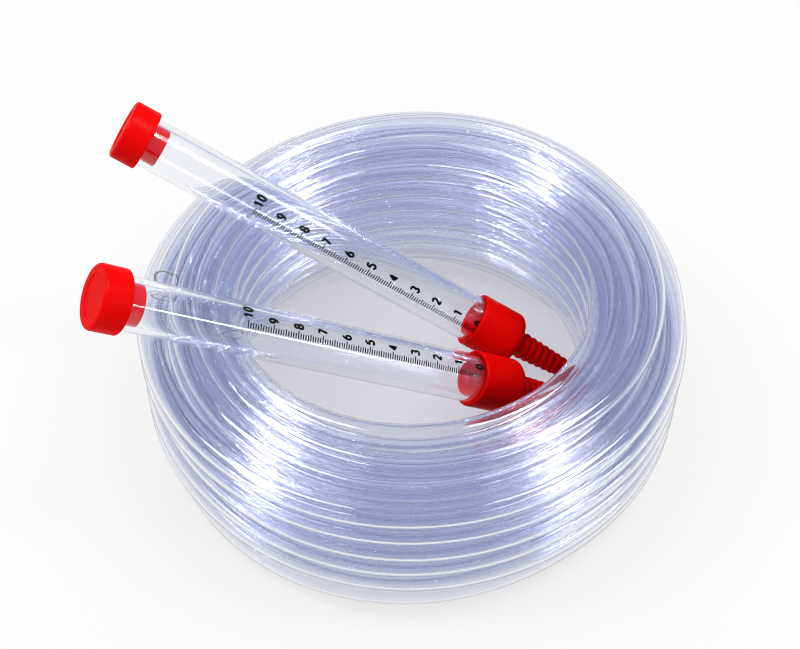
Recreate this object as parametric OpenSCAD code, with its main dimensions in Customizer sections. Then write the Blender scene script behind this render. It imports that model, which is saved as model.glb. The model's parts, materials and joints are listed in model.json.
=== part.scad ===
// Water level: a coil of clear hose with two graduated gauge tubes leaning in its eye.
// The origin is the middle of the coil on the surface that it stands on, +Z up.

/* [Hose] */
// Outside diameter of the hose
hose_od = 9; // [8:0.5:11]
// Bore of the hose
hose_bore = 7; // [5:0.5:7.5]
// Free space between neighbouring turns
turn_gap = 0.6; // [0.5:0.05:1.5]

/* [Coil] */
// Diameter of the open eye in the middle of the coil
eye_d = 133; // [124:1:150]
// Turns that a layer winds up or down before the hose steps out to the next one
run_turns = 5.75; // [3.75:1:5.75]

/* [Gauge tube] */
// Outside diameter of a gauge tube
tube_od = 19; // [17:0.5:22]
// Wall of a gauge tube
tube_wall = 2.1; // [1.5:0.1:3]
// Length of a gauge tube
tube_l = 160; // [150:1:200]

/* [Stopper] */
// Diameter of the stopper's head
stopper_d = 23; // [20:0.5:28]
// Height of the stopper's head
stopper_h = 10; // [6:0.5:16]
// Rounding of the head's edges
stopper_edge_r = 1.2; // [0.4:0.1:2.5]
// Length of the plug that goes into the tube
plug_l = 6; // [4:0.5:12]
// Rounding of the plug's end
plug_edge_r = 1; // [0.4:0.1:2]

/* [Connector] */
// Wall of the socket around the tube
socket_wall = 1.45; // [1:0.05:2.5]
// Depth to which the tube goes into the socket
socket_depth = 14; // [8:0.5:20]
// Thickness of the socket's floor
socket_floor = 6; // [4:0.5:9]
// Rounding of the shoulder between socket and barb
shoulder_r = 3; // [1:0.25:3.5]
// Length of the ribbed barb
barb_l = 25; // [20:0.5:32]
// Number of ribs on the barb
rib_count = 8; // [6:1:12]
// Height of a rib over the barb's core
rib_h = 0.7; // [0.4:0.05:0.9]
// Wall of the barb's core at its tip
barb_wall = 1; // [0.6:0.05:1.4]

/* [Resting place] */
// Direction in plan in which the front gauge leans
front_yaw = 194.5; // [190:0.5:198]
// Direction in plan in which the rear gauge leans
rear_yaw = 171; // [166:0.5:174]
// Distance of the front barb's tip from the wall of the eye
front_inset = 6.5; // [5:0.5:12]
// Distance of the rear barb's tip from the wall of the eye
rear_inset = 3.5; // [3:0.5:9]
// Space between the two sockets at their shoulders
gauge_gap = 2.2; // [1:0.1:6]

/* [Hidden] */
$fn = 64;

// Clearances
seat_gap = 0.3;
floor_gap = 0.3;
socket_fit = 0.05;
plug_fit = 0.1;
stopper_gap = 0.1;
overrun = 1;

// Winding of the coil
layers = 4;
change_turns = 0.5;
rings_per_turn = 24;
sides = 6;
start_angle = 60;
flat_share = 0.1;
nest_angle = 30;

// Shares of the hose's bore to which the barb's ribs grow, at its tip and at its base
tip_rib_share = 1.2;
base_rib_share = 1.63;
// Part of the spread between the two barb tips that lies on the front side
front_spread_share = 1 / 3;
// Part of a gauge's length that it covers in plan
plan_share = 0.85;

// Search for the angle at which a gauge rests on the rim
least_tilt = 8;
most_tilt = 75;
search_steps = 18;

hose_r = hose_od / 2;
tube_r = tube_od / 2;
tube_bore = tube_od - 2 * tube_wall;
layer_step = hose_od + turn_gap;
rise = layer_step / cos(nest_angle);
first_r = eye_d / 2 + hose_r;
low_z = hose_r - hose_od * flat_share;
top_z = low_z + rise * run_turns;
pass_turns = run_turns + change_turns;
turns = layers * pass_turns - 2 * change_turns;
last_ring = floor(turns * rings_per_turn);

tip_rib_d = hose_bore * tip_rib_share;
base_rib_d = hose_bore * base_rib_share;
tip_core_d = tip_rib_d - 2 * rib_h;
base_core_d = base_rib_d - 2 * rib_h;
barb_bore = tip_core_d - 2 * barb_wall;
rib_pitch = barb_l / rib_count;
socket_bore = tube_od + 2 * socket_fit;
socket_d = socket_bore + 2 * socket_wall;
plug_d = tube_bore - 2 * plug_fit;

// Stations along a gauge, from the barb's tip
tube_start = barb_l + socket_floor;
socket_end = tube_start + socket_depth;
tube_end = tube_start + tube_l;

// Winding: layers run down and up in turn, and step out over half a turn
function layer_of(u) = min(floor(u / pass_turns), layers - 1);
function in_layer(u) = u - layer_of(u) * pass_turns;
function stepped(u) = max(0, in_layer(u) - run_turns) / change_turns;
function turn_r(u) = first_r + layer_step * (layer_of(u) + stepped(u));
function climb(u) = rise * min(in_layer(u), run_turns);
function turn_z(u) = layer_of(u) % 2 == 0 ? top_z - climb(u) : low_z + climb(u);
function turn_angle(u) = start_angle + 360 * u;
function around(angle) = [cos(angle), sin(angle), 0];
function hose_at(u) = turn_r(u) * around(turn_angle(u)) + [0, 0, turn_z(u)];

centres = [for (i = [0 : last_ring]) hose_at(i / rings_per_turn)];

// A ring's plane holds the coil's axis, and at the two ends it is square to the last run
half_step = 180 / rings_per_turn;
function ring_turn(i) = i == 0 ? half_step : i == last_ring ? -half_step : 0;
function ring_out(i) = around(turn_angle(i / rings_per_turn) + ring_turn(i));
function grounded(p) = [p.x, p.y, max(0, p.z)];
function ring(centre, out, r) =
    [for (k = [0 : sides - 1]) let (a = 360 * k / sides)
        grounded(centre + r * (cos(a) * out + [0, 0, sin(a)]))];

// Each end shows its bore, which goes one hose diameter deep
function into(i, j) = centres[i] + hose_od * (centres[j] - centres[i]) / norm(centres[j] - centres[i]);
bore_r = hose_bore / 2;
bore_rings = [
    ring(centres[0], ring_out(0), bore_r),
    ring(into(0, 1), ring_out(0), bore_r),
    ring(centres[last_ring], ring_out(last_ring), bore_r),
    ring(into(last_ring, last_ring - 1), ring_out(last_ring), bore_r)
];
hose_rings = concat([for (i = [0 : last_ring]) ring(centres[i], ring_out(i), hose_r)], bore_rings);
hose_points = [for (one = hose_rings) each one];

// Triangles of the band between two rings, of the fan that closes a ring, and of their backs
function corner(ring_no, k) = ring_no * sides + k % sides;
function band(a, b) = [for (k = [0 : sides - 1]) each [
    [corner(a, k), corner(a, k + 1), corner(b, k + 1)],
    [corner(a, k), corner(b, k + 1), corner(b, k)]]];
function fan(a) = [for (k = [1 : sides - 2]) [corner(a, 0), corner(a, k), corner(a, k + 1)]];
function turned(faces) = [for (f = faces) [f[0], f[2], f[1]]];
start_mouth = last_ring + 1;
end_mouth = start_mouth + 2;
hose_faces = concat(
    [for (i = [0 : last_ring - 1]) each band(i, i + 1)],
    band(start_mouth, 0),
    turned(band(start_mouth, start_mouth + 1)),
    turned(fan(start_mouth + 1)),
    band(last_ring, end_mouth),
    turned(band(end_mouth + 1, end_mouth)),
    fan(end_mouth + 1));

// Least gap of the hose to its own turns, measured between ring centres of different turns
turn_distances = [for (i = [0 : last_ring], j = [i + rings_per_turn - 1 : last_ring])
    if (abs((j - i + 1) % rings_per_turn - 1) <= 1) norm(centres[j] - centres[i])];
echo(least_gap_of_hose = min(turn_distances) - hose_od, turns = turns);

// A gauge lies with its barb's tip on the floor of the eye and its tube on the rim
tip_spread = socket_d + gauge_gap - barb_l * plan_share * (sin(rear_yaw) - sin(front_yaw));
front_tip_y = -tip_spread * front_spread_share;
rear_tip_y = front_tip_y + tip_spread;
function tip_x(inset, y) = sqrt(pow(eye_d / 2 - inset, 2) - y * y);
function tip_at(inset, y, tilt) = [tip_x(inset, y), y, floor_gap + tip_core_d / 2 * cos(tilt)];
function axis_of(tilt, yaw) = cos(tilt) * around(yaw) + [0, 0, sin(tilt)];

// Distance of a run of hose between two rings from a line, seen along that line
function across(p, tip, axis) = (p - tip) - axis * ((p - tip) * axis);
function near_share(a, run) = min(1, max(0, -(a * run) / (run * run)));
function run_distance(a, run) = norm(a + run * near_share(a, run));
function rim_distance(tip, axis) = min([for (i = [0 : last_ring - 1])
    if ((centres[i] - tip) * axis > socket_end)
        let (a = across(centres[i], tip, axis), b = across(centres[i + 1], tip, axis))
            run_distance(a, b - a)]);
seat_distance = tube_r + hose_r + seat_gap;
function is_low(inset, y, yaw, tilt) =
    rim_distance(tip_at(inset, y, tilt), axis_of(tilt, yaw)) < seat_distance;
function resting_tilt(inset, y, yaw, low = least_tilt, high = most_tilt, steps = search_steps) =
    let (middle = (low + high) / 2)
    steps == 0 ? high
    : is_low(inset, y, yaw, middle) ? resting_tilt(inset, y, yaw, middle, high, steps - 1)
    : resting_tilt(inset, y, yaw, low, middle, steps - 1);
front_tilt = resting_tilt(front_inset, front_tip_y, front_yaw);
rear_tilt = resting_tilt(rear_inset, rear_tip_y, rear_yaw);
front_tip = tip_at(front_inset, front_tip_y, front_tilt);
rear_tip = tip_at(rear_inset, rear_tip_y, rear_tilt);
echo(front_tilt = front_tilt, front_tip = front_tip, front_axis = axis_of(front_tilt, front_yaw));
echo(rear_tilt = rear_tilt, rear_tip = rear_tip, rear_axis = axis_of(rear_tilt, rear_yaw));

// Quarter round from one angle to the next about a corner's middle
arc_steps = 6;
function quarter(middle, r, from) =
    [for (i = [0 : arc_steps]) let (a = from + 90 * i / arc_steps) middle + r * [cos(a), sin(a)]];

// Disc on the axis from z = 0 up, with a rounded lower and upper edge
module rounded_disc(d, h, low_r, high_r) {
    rotate_extrude()
        polygon(concat([[0, 0]],
            quarter([d / 2 - low_r, low_r], low_r, -90),
            quarter([d / 2 - high_r, h - high_r], high_r, 0),
            [[0, h]]));
}

module front_place() {
    translate(front_tip) rotate([0, 90 - front_tilt, front_yaw]) children();
}

module rear_place() {
    translate(rear_tip) rotate([0, 90 - rear_tilt, rear_yaw]) children();
}

// Clear graduated tube, open at both ends
module gauge_tube() {
    color([0.85, 0.90, 0.97, 0.5])
        translate([0, 0, tube_start])
            difference() {
                cylinder(d = tube_od, h = tube_l);
                translate([0, 0, -overrun]) cylinder(d = tube_bore, h = tube_l + 2 * overrun);
            }
}

// Stopper: a round head over the tube's end and a plug in its bore
module stopper() {
    color([0.93, 0.04, 0.05])
        translate([0, 0, tube_end + stopper_gap]) {
            rounded_disc(stopper_d, stopper_h, stopper_edge_r, stopper_edge_r);
            translate([0, 0, -plug_l])
                rounded_disc(plug_d, plug_l + stopper_h / 2, plug_edge_r, plug_edge_r);
        }
}

// Rounded rib of a given outer diameter
module rib(d) {
    rotate_extrude() translate([d / 2 - rib_pitch / 2, 0]) circle(d = rib_pitch);
}

// Core of the barb with its ribs, growing from the tip to the base
module ribbed_barb() {
    cylinder(d1 = tip_core_d, d2 = base_core_d, h = barb_l);
    for (i = [0 : rib_count - 1])
        translate([0, 0, (i + 1 / 2) * rib_pitch])
            rib(tip_rib_d + (base_rib_d - tip_rib_d) * i / (rib_count - 1));
}

// Connector: a socket for the tube, a rounded shoulder and a barb for the hose, bored right through
module connector() {
    color([0.93, 0.04, 0.05])
        difference() {
            union() {
                ribbed_barb();
                translate([0, 0, barb_l])
                    rounded_disc(socket_d, socket_floor + socket_depth, shoulder_r, socket_wall / 2);
            }
            translate([0, 0, tube_start]) cylinder(d = socket_bore, h = socket_depth + overrun);
            translate([0, 0, -overrun]) cylinder(d = barb_bore, h = tube_start + 2 * overrun);
        }
}

// The hose, wound in layers from the top of the eye to its outer end
module hose_coil() {
    color([0.72, 0.76, 0.88, 0.6])
        polyhedron(points = hose_points, faces = hose_faces, convexity = 2 * turns);
}

module front_tube() { front_place() gauge_tube(); }
module front_stopper() { front_place() stopper(); }
module front_connector() { front_place() connector(); }
module rear_tube() { rear_place() gauge_tube(); }
module rear_stopper() { rear_place() stopper(); }
module rear_connector() { rear_place() connector(); }

hose_coil();
front_tube();
front_stopper();
front_connector();
rear_tube();
rear_stopper();
rear_connector();
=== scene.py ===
"""Water level hose tool: a coil of clear hose, with its two gauges lying in the coil's eye."""
import json
import math
import bpy
import numpy as np
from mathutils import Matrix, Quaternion, Vector


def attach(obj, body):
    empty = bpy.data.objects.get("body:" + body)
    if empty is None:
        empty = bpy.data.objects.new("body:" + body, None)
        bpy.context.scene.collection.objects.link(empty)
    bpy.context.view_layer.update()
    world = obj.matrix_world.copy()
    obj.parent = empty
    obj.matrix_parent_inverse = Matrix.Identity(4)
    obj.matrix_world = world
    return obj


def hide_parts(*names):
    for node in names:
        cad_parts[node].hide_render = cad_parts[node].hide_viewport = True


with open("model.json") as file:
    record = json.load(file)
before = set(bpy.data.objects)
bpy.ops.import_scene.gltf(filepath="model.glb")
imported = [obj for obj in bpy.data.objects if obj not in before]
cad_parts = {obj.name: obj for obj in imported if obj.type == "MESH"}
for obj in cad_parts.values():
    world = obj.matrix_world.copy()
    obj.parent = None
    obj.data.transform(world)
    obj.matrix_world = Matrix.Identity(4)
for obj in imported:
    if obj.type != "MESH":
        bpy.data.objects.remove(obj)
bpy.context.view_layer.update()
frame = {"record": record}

# Camera, in metres and degrees
CAMERA_PLACE = (-0.00481, -0.37059, 0.45086)
CAMERA_TILT = 42.15
CAMERA_LENS = 64.25
SENSOR_WIDTH = 36.0
NEAREST_SEEN = 0.01

# How light is followed, and the width in pixels over which samples are spread
LIGHT_BOUNCES = 32
GLOSS_BOUNCES = 8
PIXEL_FILTER = 1.1

# Hose: its own size, and the bundle that it is wound into; the outer corners go by degrees round the coil
HOSE_R = 0.0045
HOSE_BORE_R = 0.0035
HOSE_SIDES = 18
MOUTH_EDGE_R = 0.0002
CUT_DEPTH = 0.0001
EYE_R = 0.0666
RIM_R = 0.1041
COIL_H = 0.0722
LIP_R = 0.010
INNER_FOOT_R = 0.017
OUTER_LIP_R = {
    15: 0.017, 35: 0.012, 58: 0.0085, 85: 0.011, 118: 0.0115,
    148: 0.011, 170: 0.011, 200: 0.017, 300: 0.017,
}
OUTER_FOOT_R = {
    0: 0.014, 30: 0.014, 170: 0.017, 205: 0.021, 218: 0.016, 230: 0.0075,
    248: 0.0075, 268: 0.010, 282: 0.014, 305: 0.019, 325: 0.015, 345: 0.013,
}
RUN_TURNS = (6.5, 7.05, 7.3, 6.04)
CHANGE_TURNS = 0.35
STATIONS = 84
END_ANGLE = math.radians(177)
END_R = 0.094
END_H = 0.0615

# How the winding settles
SEED = 7
LEAST_PITCH = 0.0091
WOBBLE = 0.0005
WOBBLE_STATIONS = 11
CORNER_STATIONS = 8
STEPS = 700
FIRST_WIDTH = 8.5
LAST_WIDTH = 2.5
SAG = 0.00001
SAG_UNTIL = 0.5
SEAT_STATIONS = 9
SEAT_PULL = 0.2
END_STATIONS = 12
END_PULL = 0.1
ROOM = 0.0004
LEAST_SLANT = 0.3

# Gauges: stations along a gauge from its barb's tip, and radii
LIFT = 0.085
BARB_END = 0.025
SOCKET_FLOOR = 0.031
SOCKET_END = 0.045
PLUG_START = 0.1851
TUBE_END = 0.191
HEAD_START = 0.1911
HEAD_END = 0.2011
TUBE_R = 0.0095
TUBE_BORE_R = 0.0074
TUBE_EDGE_R = 0.0003
SOCKET_R = 0.011
SOCKET_BORE_R = 0.00955
SHOULDER_R = 0.003
LIP_EDGE_R = 0.0007
BARB_BORE_R = 0.0025
RIB_COUNT = 8
RIB_PITCH = BARB_END / RIB_COUNT
RIB_R = (0.0042, 0.0057)
CORE_R = (0.0037, 0.0052)
RIB_SAMPLES = 12
PLUG_R = 0.0073
PLUG_EDGE_R = 0.001
HEAD_R = 0.0115
HEAD_EDGE_R = 0.0012
HEAD_BACK_EDGE_R = 0.0004
DISH_R = 0.0082
DISH_WALL = 0.0007
DISH_DEPTH = 0.0005
DISH_EDGE_R = 0.0002
GAUGE_SIDES = 96

# Scale: where its zero stands along each gauge, and the turn of its ticks' roots about the axis
SCALE_ZERO = {"front": 0.0478, "rear": 0.0449}
SCALE_ROLL = {"front": math.radians(315.8), "rear": math.radians(283.4)}
SCALE_CM = 10
TICK_PITCH = 0.001
TICK_LENGTHS = {10: 0.0028, 5: 0.0023, 1: 0.0019}
TICK_WIDTH = 0.00045
FIGURE_GAP = 0.0008
FIGURE_HIGH = 0.0034
FIGURE_WIDE = 0.0017
FIGURE_STEP = 0.0026
FIGURE_STROKE = 0.0009
INK_FOOT = 0.000005
INK_THICK = 0.00003
INK_STEP = 0.000001
LINE_POINTS = 7
CURVE_POINTS = 7
CURVE_DEGREES = 12

# Clear hose: how fast its depth shade comes in along the light's way
DEPTH_PER_METRE = 18.0

# Floor, and what is seen of the world straight, in gloss and through clear things
FLOOR_Z = -0.0003
FLOOR_SIDE = 30.0
FLOOR_SHADE = 0.9
FLOOR_GLOW = 0.78
FADE_R = (0.35, 1.2)
# Painted shadow: inside the coil's eye the floor's glow takes this darker lavender colour. It is full within
# the first radius below and gone past the second.
EYE_PAINTED_SHADOW = (0.66, 0.66, 0.74)
MIRRORED_SHARE = 0.6
PAINTED_SHADOW_FULL_R = 0.07
PAINTED_SHADOW_END_R = 0.105
WORLD_FILL = 0.5
WORLD_THROUGH = (0.54, 0.58, 0.79)
WORLD_MIRRORED = (0.12, 0.13, 0.18)

# Lamps: heading from the coil, distance, sides, roll in degrees, brightness, and whether matt things are lit
LAMPS = {
    "left_softbox": ((-0.44, 0.0, 0.9), 1.2, (0.25, 0.7), 0, 9.0, True),
    "right_softbox": ((0.44, 0.0, 0.9), 1.2, (0.25, 0.7), 0, 9.0, True),
    "left_glint": ((-0.44, 0.0, 0.9), 1.25, (0.13, 0.2), 0, 140.0, False),
    "right_glint": ((0.44, 0.0, 0.9), 1.25, (0.13, 0.2), 0, 100.0, False),
    "low_strip": ((0.86, -0.45, 0.25), 1.1, (0.9, 0.12), -49, 9.0, False),
}

# Steps of rounded edges
ARC_STEPS = 6
BESIDE_ARC = 0.00012


def unit(vector):
    """The vector or vectors at length one."""
    return vector / np.linalg.norm(vector, axis=-1, keepdims=True)


def add_camera():
    """The photo's camera, looking along +Y and down."""
    data = bpy.data.cameras.new("camera")
    data.lens = CAMERA_LENS
    data.sensor_width = SENSOR_WIDTH
    data.sensor_fit = "HORIZONTAL"
    data.clip_start = NEAREST_SEEN
    made = bpy.data.objects.new("camera", data)
    made.location = CAMERA_PLACE
    made.rotation_euler = (math.radians(CAMERA_TILT), 0, 0)
    bpy.context.scene.collection.objects.link(made)
    bpy.context.scene.camera = made


def gauge_axes():
    """Barb tip, axis, up and side of each gauge; the barb mounts' own axes point down, out of the barb."""
    axes = {}
    for mount in frame["record"]["mounts"]:
        if mount["name"].endswith("_barb"):
            axis = -unit(np.array(mount["axis"]))
            side = unit(np.cross(axis, (0, 0, 1)))
            tip = np.array(mount["pos_m"])
            axes[mount["name"].removesuffix("_barb")] = tip, axis, np.cross(side, axis), side
    return axes


GAUGES = gauge_axes()


def smoothed(values, width):
    """Values along the route, averaged under a bell curve of that many stations."""
    reach = int(3 * width) + 1
    bell = np.exp(-0.5 * (np.arange(-reach, reach + 1) / width) ** 2)
    padded = np.pad(values, ((reach, reach), (0, 0)), mode="edge")
    return np.stack([np.convolve(column, bell / bell.sum(), "valid") for column in padded.T], axis=1)


def even_winding():
    """Radius and height along the hose, and turns so far: layers wind down and up, and step out between."""
    steps = [turns for run in RUN_TURNS for turns in (run, CHANGE_TURNS)]
    marks = np.cumsum([0.0] + steps[:-1])
    ends = np.arange(len(marks))
    layer = ends // 2
    inner, outer = EYE_R + HOSE_R, RIM_R - HOSE_R
    radii = inner + (outer - inner) * layer / layer.max()
    heights = np.where(layer % 2 == ends % 2, COIL_H - HOSE_R, HOSE_R)
    turn = np.arange(int(marks[-1] * STATIONS) + 1) / STATIONS
    return np.stack([np.interp(turn, marks, radii), np.interp(turn, marks, heights)], axis=1), turn


def push_apart(route):
    """Half of the overlap of every two turns at the same station, along the line between them."""
    rows = -(-len(route) // STATIONS)
    table = np.full((rows * STATIONS, 2), np.nan)
    table[:len(route)] = route
    table = table.reshape(rows, STATIONS, 2)
    away = table[:, None] - table[None]
    apart = np.linalg.norm(away, axis=-1, keepdims=True)
    apart[np.arange(rows), np.arange(rows)] = np.nan
    push = away / apart * np.clip(LEAST_PITCH - apart, 0, None) / 2
    return np.nansum(push, axis=1).reshape(-1, 2)[:len(route)]


def by_angle(table, angle):
    """A column of a table's values at the angles; its keys are degrees, and it runs on round the coil."""
    return np.interp(np.degrees(angle), list(table), list(table.values()), period=360)[:, None]


def push_in(route, angle):
    """Way back into the bundle's section, for points outside it; each corner has its own rounding."""
    off = route - np.array([(EYE_R + RIM_R) / 2, COIL_H / 2])
    inner, upper = off[:, :1] < 0, off[:, 1:] > 0
    outer_lip, outer_foot = by_angle(OUTER_LIP_R, angle), by_angle(OUTER_FOOT_R, angle)
    corner = np.select([inner & upper, inner, upper], [LIP_R, INNER_FOOT_R, outer_lip], outer_foot) - HOSE_R
    half = np.array([(RIM_R - EYE_R) / 2, COIL_H / 2]) - HOSE_R - corner
    past = np.clip(np.abs(off) - half, 0, None)
    reach = np.linalg.norm(past, axis=1, keepdims=True)
    return -np.sign(off) * past * np.clip(1 - corner / np.maximum(reach, 1e-9), 0, None)


def in_space(route, angle):
    """Points of the route: radius at its angle round the coil's axis, and height."""
    return np.stack([route[:, 0] * np.cos(angle), route[:, 0] * np.sin(angle), route[:, 1]], axis=1)


def push_off(route, angle, tip, axis):
    """Way clear of a gauge over its lift, across its axis, and up to its tube where that rests on a turn."""
    off = in_space(route, angle) - tip
    along = off @ axis
    across = off - np.outer(along, axis)
    apart = np.linalg.norm(across, axis=1)
    reach = np.select([along < SOCKET_END + LIFT, along < TUBE_END], [SOCKET_R, TUBE_R], HEAD_R)
    gap = apart - reach - HOSE_R - ROOM
    away = across / apart[:, None]
    flat = np.stack([away[:, 0] * np.cos(angle) + away[:, 1] * np.sin(angle), away[:, 2]], axis=1)
    under = (along > SOCKET_END + LIFT) & (along < TUBE_END)
    seat = np.argmin(np.where(under, gap, 1))
    bell = np.exp(-0.5 * ((np.arange(len(route)) - seat) / SEAT_STATIONS) ** 2)
    move = np.clip(-gap, 0, None) - SEAT_PULL * max(gap[seat], 0) * bell
    return flat * (move / np.maximum((flat ** 2).sum(1), LEAST_SLANT))[:, None]


def wind():
    """Points along the hose: an even winding, shaken, then pushed apart, in and off the gauges to settle."""
    rng = np.random.default_rng(SEED)
    route, turn = even_winding()
    angle = END_ANGLE + 2 * math.pi * (turn - turn[-1])
    tail = np.exp((turn - turn[-1]) * STATIONS / END_STATIONS)[:, None]
    route = smoothed(route, CORNER_STATIONS)
    shake = smoothed(rng.normal(size=route.shape), WOBBLE_STATIONS)
    route += shake / shake.std() * WOBBLE
    for step in range(STEPS):
        done = step / STEPS
        push = push_apart(route) + push_in(route, angle)
        for tip, axis, _, _ in GAUGES.values():
            push += push_off(route, angle, tip, axis)
        push[:, 1] -= SAG * (done < SAG_UNTIL)
        push += tail * END_PULL * (np.array([END_R, END_H]) - route[-1])
        route += smoothed(push, FIRST_WIDTH + (LAST_WIDTH - FIRST_WIDTH) * done)
        route[:, 1] = np.maximum(route[:, 1], HOSE_R)
    return in_space(route, angle)


def rounded(corners):
    """Outline of (station, radius, rounding) corners: an arc cuts each, with a close point on either side."""
    flat = np.array([corner[:2] for corner in corners])
    points = []
    for i, (station, radius, rounding) in enumerate(corners):
        if rounding == 0:
            points.append((station, radius))
            continue
        back = unit(flat[i - 1] - flat[i])
        ahead = unit(flat[(i + 1) % len(flat)] - flat[i])
        half = math.acos(np.clip(back @ ahead, -1, 1)) / 2
        reach = rounding / math.tan(half)
        middle = flat[i] + unit(back + ahead) * rounding / math.sin(half)
        first, last = flat[i] + back * reach - middle, flat[i] + ahead * reach - middle
        bend = math.pi - 2 * half
        points.append(flat[i] + back * (reach + BESIDE_ARC))
        for share in np.linspace(0, 1, ARC_STEPS + 1):
            mixed = math.sin((1 - share) * bend) * first + math.sin(share * bend) * last
            points.append(middle + mixed / math.sin(bend))
        points.append(flat[i] + ahead * (reach + BESIDE_ARC))
    return np.array(points)


def wall_outline(start, end, radius, bore, edge):
    """Outline of a wall between two stations: its outer side, an end, its bore and the other end."""
    corners = [(start, radius), (end, radius), (end, bore), (start, bore)]
    return rounded([(*corner, edge) for corner in corners])


def filled(outline, step):
    """The outline with points added, evenly, on every stretch longer than the step."""
    points = []
    for start, end in zip(outline, np.roll(outline, -1, axis=0)):
        count = max(1, math.ceil(np.linalg.norm(end - start) / step))
        points.append(start + (end - start) * np.arange(count)[:, None] / count)
    return np.concatenate(points)


def skin(name, points, run, loop):
    """A mesh over rows of points, each row closed on itself: the rows join end to start, or end in poles."""
    rows, sides = points.shape[:2]
    ids = np.arange(rows * sides).reshape(rows, sides)
    places = points.reshape(-1, 3)
    runs = run.reshape(-1, 3)
    if not loop:
        kept = np.r_[0, sides:(rows - 1) * sides + 1]
        places, runs = places[kept], runs[kept]
        ids = np.clip(ids - sides + 1, 0, len(places) - 1)
        ids[-1] = len(places) - 1
    ahead = np.roll(ids, -1, axis=0) if loop else ids[1:]
    here = ids if loop else ids[:-1]
    quads = np.stack([here, np.roll(here, -1, 1), np.roll(ahead, -1, 1), ahead], axis=-1)
    if loop:
        faces = quads.reshape(-1, 4).tolist()
    else:
        first, last = quads[0][:, [0, 2, 3]], quads[-1][:, [0, 1, 2]]
        faces = first.tolist() + quads[1:-1].reshape(-1, 4).tolist() + last.tolist()
    return mesh_piece(name, places, faces, runs)


def mesh_piece(name, places, faces, runs):
    """A smooth mesh at the origin; the material reads its grain at the run attribute."""
    mesh = bpy.data.meshes.new(name)
    mesh.from_pydata(places.tolist(), [], faces)
    mesh.polygons.foreach_set("use_smooth", np.ones(len(faces), dtype=bool))
    run = mesh.attributes.new("run", "FLOAT_VECTOR", "POINT")
    run.data.foreach_set("vector", runs.astype(np.float32).ravel())
    made = bpy.data.objects.new(name, mesh)
    bpy.context.scene.collection.objects.link(made)
    return made


def sweep(name, outline, middle, first, second, sides, loop):
    """Circles, one for each point of the outline: middle + radius x (first x cosine + second x sine).
    The run is the station, the cosine and the sine."""
    turn = np.arange(sides) * 2 * math.pi / sides
    cos, sin = np.cos(turn)[None, :, None], np.sin(turn)[None, :, None]
    spoke = first[:, None] * cos + second[:, None] * sin
    points = middle[:, None] + outline[:, 1, None, None] * spoke
    run = np.concatenate([np.broadcast_to(part, (len(outline), sides, 1))
                          for part in (outline[:, 0, None, None], cos, sin)], axis=2)
    return skin(name, points, run, loop)


def lathe(name, gauge, outline, loop):
    """The outline turned about a gauge's axis."""
    tip, axis, up, side = GAUGES[gauge]
    ones = np.ones((len(outline), 1))
    return sweep(name, outline, tip + outline[:, :1] * axis, ones * up, ones * side, GAUGE_SIDES, loop)


def mark_cuts(made, stations, sides):
    """The faces across a wall's two ends, with their middles close to its end stations, take material two."""
    level = (stations + np.roll(stations, -1)) / 2
    cut = np.minimum(level - stations.min(), stations.max() - level) < CUT_DEPTH
    made.data.polygons.foreach_set("material_index", np.repeat(cut, sides).astype(np.int32))


def hose(name, path):
    """The hose's wall along the path: an outer and a bore surface, joined by a rim at each cut end."""
    steps = np.linalg.norm(np.diff(path, axis=0), axis=1)
    along = np.r_[0, np.cumsum(steps)]
    length = along[-1]
    outline = filled(wall_outline(0, length, HOSE_R, HOSE_BORE_R, MOUTH_EDGE_R), steps.mean())
    heading = unit(np.gradient(path, along, axis=0))
    pick = np.stack([np.interp(outline[:, 0], along, column) for column in np.c_[path, heading].T], axis=1)
    middle, ahead = pick[:, :3], unit(pick[:, 3:])
    outward = unit(np.cross(ahead, (0, 0, 1)))
    made = sweep(name, outline, middle, outward, np.cross(ahead, outward), HOSE_SIDES, True)
    mark_cuts(made, outline[:, 0], HOSE_SIDES)
    return made, length


def stopper_outline():
    """Plug, round head and a shallow dish in the head's end, from pole to pole."""
    return rounded([
        (PLUG_START, 0, 0),
        (PLUG_START, PLUG_R, PLUG_EDGE_R),
        (HEAD_START, PLUG_R, DISH_EDGE_R),
        (HEAD_START, HEAD_R, HEAD_BACK_EDGE_R),
        (HEAD_END, HEAD_R, HEAD_EDGE_R),
        (HEAD_END, DISH_R, DISH_EDGE_R),
        (HEAD_END - DISH_DEPTH, DISH_R - DISH_WALL, DISH_EDGE_R),
        (HEAD_END - DISH_DEPTH, 0, 0),
    ])


def connector_outline():
    """A barb of round ribs that widen towards the socket, a round shoulder, the tube's socket and a bore."""
    station = np.linspace(0, BARB_END, RIB_COUNT * RIB_SAMPLES + 1)[:-1]
    rib = np.minimum(station // RIB_PITCH, RIB_COUNT - 1)
    crest = RIB_R[0] + (RIB_R[1] - RIB_R[0]) * rib / (RIB_COUNT - 1)
    off = station - (rib + 0.5) * RIB_PITCH
    half = RIB_PITCH / 2
    core = CORE_R[0] + (CORE_R[1] - CORE_R[0]) * station / BARB_END
    ribs = np.maximum(core, crest - half + np.sqrt(np.clip(half ** 2 - off ** 2, 0, None)))
    body = rounded([
        (BARB_END, CORE_R[1], DISH_EDGE_R),
        (BARB_END, SOCKET_R, SHOULDER_R),
        (SOCKET_END, SOCKET_R, LIP_EDGE_R),
        (SOCKET_END, SOCKET_BORE_R, LIP_EDGE_R),
        (SOCKET_FLOOR, SOCKET_BORE_R, DISH_EDGE_R),
        (SOCKET_FLOOR, BARB_BORE_R, DISH_EDGE_R),
        (0, BARB_BORE_R, DISH_EDGE_R),
        (0, CORE_R[0], DISH_EDGE_R),
    ])
    return np.concatenate([body, np.stack([station, ribs], axis=1)[1:]])


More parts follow.
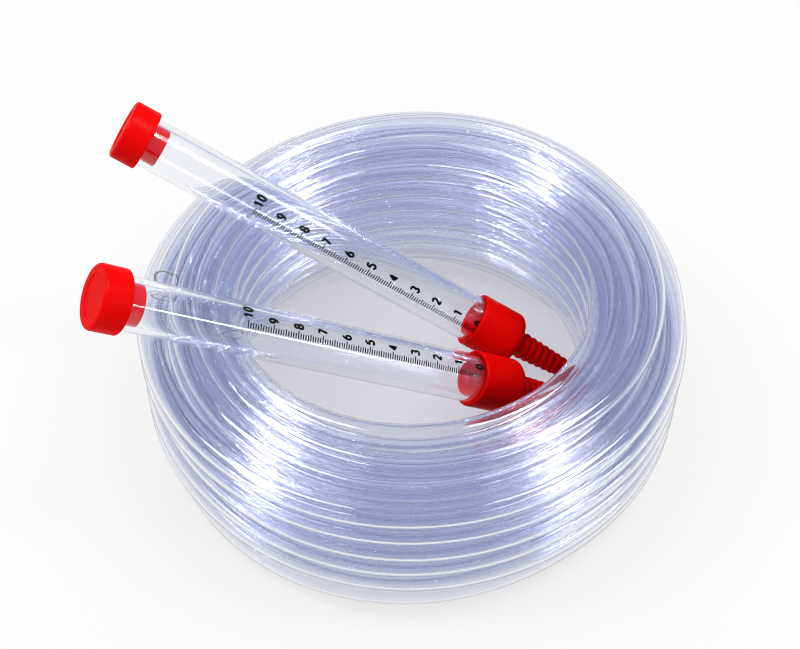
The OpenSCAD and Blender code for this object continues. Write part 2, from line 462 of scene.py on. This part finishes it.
def arc(middle, radii, start, end):
    """Points of an ellipse's arc between two angles in degrees."""
    count = max(CURVE_POINTS, int(abs(end - start) / CURVE_DEGREES) + 1)
    turn = np.radians(np.linspace(start, end, count))
    return np.stack([middle[0] + radii[0] * np.cos(turn), middle[1] + radii[1] * np.sin(turn)], axis=1)


def line(*points):
    """Points of a straight stroke, close enough to bend round the tube."""
    points = np.array(points, dtype=float)
    return np.linspace(points[0], points[1], LINE_POINTS)


SIX = (arc((0.5, 0.3), (0.43, 0.3), 0, 360), arc((0.86, 0.3), (0.79, 0.7), 180, 98))
FIGURES = {
    "0": (arc((0.5, 0.5), (0.43, 0.5), 0, 360),),
    "1": (line((0.62, 0), (0.62, 1)), line((0.62, 1), (0.2, 0.74))),
    "2": (np.concatenate([arc((0.5, 0.71), (0.41, 0.29), 165, -35), line((0.8, 0.52), (0.08, 0.02))]),
          line((0.05, 0), (0.95, 0))),
    "3": (arc((0.46, 0.75), (0.4, 0.25), 155, -90), arc((0.46, 0.26), (0.46, 0.26), 90, -155)),
    "4": (line((0.7, 0), (0.7, 1)), line((0.7, 1), (0.04, 0.27)), line((0.04, 0.27), (1, 0.27))),
    "5": (line((0.9, 1), (0.2, 1)), line((0.2, 1), (0.13, 0.5)), arc((0.47, 0.31), (0.45, 0.31), 140, -155)),
    "6": SIX,
    "7": (line((0.04, 1), (0.96, 1)), line((0.92, 1), (0.36, 0))),
    "8": (arc((0.5, 0.75), (0.37, 0.25), 0, 360), arc((0.5, 0.26), (0.44, 0.26), 0, 360)),
    "9": tuple(1 - stroke for stroke in SIX),
}


def stroke_points(path, width, lift):
    """A flat bar along a path on the tube: four edges, half the width to either side, as high as the ink."""
    heading = unit(np.gradient(path, axis=0))
    if np.allclose(path[0], path[-1]):
        heading[[0, -1]] = unit(path[1] - path[-2])
    across = np.stack([-heading[:, 1], heading[:, 0]], axis=1) * width / 2
    low = np.full((len(path), 1), INK_FOOT)
    high = low + INK_THICK + lift
    left, right = path + across, path - across
    return np.stack([np.c_[left, high], np.c_[right, high], np.c_[right, low], np.c_[left, low]], axis=1)


def scale_strokes(gauge):
    """Ticks each millimetre, longer at 5 mm and 10 mm, and a figure beside each centimetre."""
    strokes = []
    for count in range(SCALE_CM * 10 + 1):
        kind = max(step for step in TICK_LENGTHS if count % step == 0)
        height = SCALE_ZERO[gauge] + count * TICK_PITCH
        strokes.append((line((0, height), (TICK_LENGTHS[kind], height)), TICK_WIDTH))
    for cm in range(SCALE_CM + 1):
        foot = SCALE_ZERO[gauge] + cm * 10 * TICK_PITCH - FIGURE_HIGH / 2
        start = np.array([TICK_LENGTHS[10] + FIGURE_GAP, foot])
        for place, figure in enumerate(str(cm)):
            corner = start + (place * FIGURE_STEP, 0)
            paths = [corner + part * (FIGURE_WIDE, FIGURE_HIGH) for part in FIGURES[figure]]
            strokes += [(path, FIGURE_STROKE) for path in paths]
    return [stroke_points(path, width, i * INK_STEP % INK_THICK) for i, (path, width) in enumerate(strokes)]


def scale(name, gauge):
    """The strokes wrapped on the tube: way across becomes a turn about the axis, height a larger radius.
    The run is the place along the axis, up and to the side."""
    tip, axis, up, side = GAUGES[gauge]
    places, faces = [], []
    count = 0
    for bar in scale_strokes(gauge):
        turn = SCALE_ROLL[gauge] + bar[..., :1] / TUBE_R
        spoke = np.cos(turn) * up + np.sin(turn) * side
        places.append((tip + bar[..., 1:2] * axis + (TUBE_R + bar[..., 2:]) * spoke).reshape(-1, 3))
        ids = count + np.arange(len(bar) * 4).reshape(-1, 4)
        turned = np.roll(ids, -1, axis=1)
        faces += np.stack([ids[:-1], ids[1:], turned[1:], turned[:-1]], axis=-1).reshape(-1, 4).tolist()
        faces += [ids[0].tolist(), ids[-1][::-1].tolist()]
        count += len(bar) * 4
    places = np.concatenate(places)
    runs = (places - tip) @ np.stack([axis, up, side], axis=1)
    made = mesh_piece(name, places, faces, runs)
    made.data.polygons.foreach_set("use_smooth", np.zeros(len(faces), dtype=bool))
    return made


def add_node(tree, kind, inputs=None, **settings):
    """A node with its settings; each input takes a value, or a link where the value is a node's output."""
    made = tree.nodes.new(kind)
    for key, value in settings.items():
        setattr(made, key, value)
    for key, value in (inputs or {}).items():
        if isinstance(value, bpy.types.NodeSocket):
            tree.links.new(value, made.inputs[key])
        else:
            made.inputs[key].default_value = value
    return made


def math_output(tree, operation, *values):
    """What a math node makes of the values."""
    return add_node(tree, "ShaderNodeMath", dict(enumerate(values)), operation=operation).outputs[0]


def mix_output(tree, share, first, second):
    """The first colour, with that share of the second one."""
    return add_node(tree, "ShaderNodeMix", {0: share, 6: first, 7: second}, data_type="RGBA").outputs[2]


def finish_material(name, shades, stretch, bump, shader, depth_shade=None):
    """Principled material: noise, stretched along the run, mixes two shades and gives a low bump.
    A clear material with a depth shade also darkens towards it with the way that light goes inside."""
    made = bpy.data.materials.new(name)
    made.use_nodes = True
    tree = made.node_tree
    tree.nodes.clear()
    run = add_node(tree, "ShaderNodeAttribute", attribute_name="run")
    along = {0: run.outputs["Vector"], 1: stretch}
    place = add_node(tree, "ShaderNodeVectorMath", along, operation="MULTIPLY").outputs["Vector"]
    noise = {"Vector": place, "Scale": 1.0, "Detail": 2.0}
    grain = add_node(tree, "ShaderNodeTexNoise", noise).outputs[0]
    relief = add_node(tree, "ShaderNodeBump", {"Height": grain, "Strength": 1.0, "Distance": bump})
    mixed = mix_output(tree, grain, *shades)
    inputs = {"Base Color": mixed, "Normal": relief.outputs["Normal"], **shader}
    surface = add_node(tree, "ShaderNodeBsdfPrincipled", inputs)
    output = add_node(tree, "ShaderNodeOutputMaterial", {"Surface": surface.outputs[0]})
    if depth_shade:
        inside = {"Color": depth_shade, "Density": DEPTH_PER_METRE}
        depth = add_node(tree, "ShaderNodeVolumeAbsorption", inside)
        tree.links.new(depth.outputs[0], output.inputs["Volume"])
    return made


def seen_rays(tree):
    """One or zero for rays seen straight, in gloss or through clear things, before any matt bounce."""
    rays = add_node(tree, "ShaderNodeLightPath")
    through = rays.outputs["Is Transmission Ray"]
    gloss = math_output(tree, "GREATER_THAN", rays.outputs["Is Glossy Ray"], through)
    first = math_output(tree, "LESS_THAN", rays.outputs["Diffuse Depth"], 0.5)
    kinds = [math_output(tree, "MULTIPLY", kind, first) for kind in (gloss, through)]
    return [rays.outputs["Is Camera Ray"], *kinds]


def add_world():
    """White where the camera looks past the floor, pale through clear things, dim in gloss, else a fill."""
    world = bpy.data.worlds.new("studio")
    bpy.context.scene.world = world
    world.use_nodes = True
    tree = world.node_tree
    tree.nodes.clear()
    straight, gloss, through = seen_rays(tree)
    shade = (WORLD_FILL, WORLD_FILL, WORLD_FILL, 1)
    for kind, colour in ((gloss, WORLD_MIRRORED), (through, WORLD_THROUGH), (straight, (1, 1, 1))):
        shade = mix_output(tree, kind, shade, (*colour, 1))
    light = add_node(tree, "ShaderNodeBackground", {"Color": shade, "Strength": 1.0})
    add_node(tree, "ShaderNodeOutputWorld", {"Surface": light.outputs[0]})


def add_floor():
    """A pale floor. Part of its shade, and far off all of it, is the same in any light, so shadows are faint.
    That part is darker inside the coil's eye: a painted shadow of the coil, in a lavender grey. In gloss the
    floor shows at a share of its brightness."""
    half = FLOOR_SIDE / 2
    mesh = bpy.data.meshes.new("floor")
    corners = [(x * half, y * half, FLOOR_Z) for x, y in ((-1, -1), (1, -1), (1, 1), (-1, 1))]
    mesh.from_pydata(corners, [], [(0, 1, 2, 3)])
    made = bpy.data.objects.new("floor", mesh)
    bpy.context.scene.collection.objects.link(made)
    paint = bpy.data.materials.new("floor")
    paint.use_nodes = True
    tree = paint.node_tree
    tree.nodes.clear()
    straight, gloss, through = seen_rays(tree)
    place = add_node(tree, "ShaderNodeTexCoord").outputs["Object"]
    far = add_node(tree, "ShaderNodeVectorMath", {0: place}, operation="LENGTH").outputs["Value"]
    rise = {"From Min": FADE_R[0], "From Max": FADE_R[1], "To Min": FLOOR_GLOW, "To Max": 1.0}
    share = add_node(tree, "ShaderNodeMapRange", {"Value": far, **rise}).outputs[0]
    seen = math_output(tree, "MAXIMUM", straight, through)
    part = math_output(tree, "MULTIPLY_ADD", seen, share, gloss)
    strength = math_output(tree, "MULTIPLY_ADD", gloss, MIRRORED_SHARE - 1, 1.0)
    # Painted shadow: the glow colour turns from the darker eye colour to white between the two radii round
    # the coil's axis
    limits = {"Value": far, "From Min": PAINTED_SHADOW_FULL_R, "From Max": PAINTED_SHADOW_END_R}
    clear_of_painted_shadow = add_node(tree, "ShaderNodeMapRange", limits, interpolation_type="SMOOTHSTEP").outputs[0]
    shade = mix_output(tree, clear_of_painted_shadow, (*EYE_PAINTED_SHADOW, 1), (1, 1, 1, 1))
    matt = add_node(tree, "ShaderNodeBsdfDiffuse", {"Color": (FLOOR_SHADE, FLOOR_SHADE, FLOOR_SHADE, 1)})
    glow = add_node(tree, "ShaderNodeEmission", {"Color": shade, "Strength": strength})
    both = {0: part, 1: matt.outputs[0], 2: glow.outputs[0]}
    mixed = add_node(tree, "ShaderNodeMixShader", both)
    add_node(tree, "ShaderNodeOutputMaterial", {"Surface": mixed.outputs[0]})
    mesh.materials.append(paint)


def add_lamps():
    """Rectangular lamps that face the coil: power is brightness x area x pi. Some show in gloss alone."""
    for name, (heading, far, sides, roll, bright, lights) in LAMPS.items():
        data = bpy.data.lights.new(name, "AREA")
        data.shape = "RECTANGLE"
        data.size, data.size_y = sides
        data.energy = bright * sides[0] * sides[1] * math.pi
        made = bpy.data.objects.new(name, data)
        place = Vector(heading).normalized() * far
        made.location = place
        made.visible_diffuse = lights
        faced = (-place).to_track_quat("-Z", "Y")
        made.rotation_euler = (faced @ Quaternion((0, 0, 1), math.radians(roll))).to_euler()
        bpy.context.scene.collection.objects.link(made)


def place_piece(made, body, node, material):
    """Hangs a piece on its body, in place of its CAD node if it has one and material."""
    made.data.materials.append(material)
    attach(made, body)
    if node:
        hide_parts(node)


add_camera()

CLEAR_HOSE = finish_material(
    "clear_hose",
    shades=((0.945, 0.952, 0.985, 1), (0.965, 0.97, 0.992, 1)),
    stretch=(9.0, 3.0, 3.0),
    bump=0.000002,
    shader={"Transmission Weight": 1.0, "IOR": 1.5, "Roughness": 0.02},
    depth_shade=(0.225, 0.30, 0.78, 1),
)
CLEAR_TUBE = finish_material(
    "clear_tube",
    shades=((0.95, 0.96, 0.98, 1), (0.98, 0.985, 0.995, 1)),
    stretch=(6.0, 2.0, 2.0),
    bump=0.00001,
    shader={"Transmission Weight": 1.0, "IOR": 1.49, "Roughness": 0.01},
)
RED_PLASTIC = finish_material(
    "red_plastic",
    shades=((0.88, 0.0015, 0.002, 1), (0.95, 0.003, 0.003, 1)),
    stretch=(700.0, 6.0, 6.0),
    bump=0.00001,
    shader={"Roughness": 0.35, "Specular IOR Level": 0.02, "IOR": 1.5},
)
CUT_END = finish_material(
    "cut_end",
    shades=((0.80, 0.83, 0.92, 1), (0.88, 0.90, 0.96, 1)),
    stretch=(900.0, 30.0, 30.0),
    bump=0.00002,
    shader={"Roughness": 0.5, "Transmission Weight": 0.3, "IOR": 1.5},
)
INK = finish_material(
    "scale_ink",
    shades=((0.002, 0.002, 0.002, 1), (0.006, 0.006, 0.006, 1)),
    stretch=(1500.0, 1500.0, 1500.0),
    bump=0.000004,
    shader={"Roughness": 0.6, "Specular IOR Level": 0.05},
)

hose_path = wind()
hose_piece, hose_length = hose("hose", hose_path)
place_piece(hose_piece, "coil", "hose_coil", CLEAR_HOSE)
hose_piece.data.materials.append(CUT_END)

tube_outline = wall_outline(SOCKET_FLOOR, TUBE_END, TUBE_R, TUBE_BORE_R, TUBE_EDGE_R)
for gauge in GAUGES:
    body = gauge + "_gauge"
    tube_piece = lathe(gauge + "_clear_tube", gauge, tube_outline, True)
    tube_piece.visible_shadow = False
    tube_piece.visible_diffuse = False
    place_piece(tube_piece, body, gauge + "_tube", CLEAR_TUBE)
    mark_cuts(tube_piece, tube_outline[:, 0], GAUGE_SIDES)
    tube_piece.data.materials.append(CUT_END)
    connector_piece = lathe(gauge + "_red_connector", gauge, connector_outline(), True)
    place_piece(connector_piece, body, gauge + "_connector", RED_PLASTIC)
    stopper_piece = lathe(gauge + "_red_stopper", gauge, stopper_outline(), False)
    place_piece(stopper_piece, gauge + "_cap", gauge + "_stopper", RED_PLASTIC)
    place_piece(scale(gauge + "_scale", gauge), body, None, INK)

add_floor()
add_world()
add_lamps()

scene = bpy.context.scene
scene.view_settings.view_transform = "Standard"
scene.cycles.max_bounces = LIGHT_BOUNCES
scene.cycles.transmission_bounces = LIGHT_BOUNCES
scene.cycles.glossy_bounces = GLOSS_BOUNCES
scene.cycles.filter_width = PIXEL_FILTER
scene.cycles.sample_clamp_indirect = 0.0
scene.cycles.caustics_reflective = False
scene.cycles.caustics_refractive = False
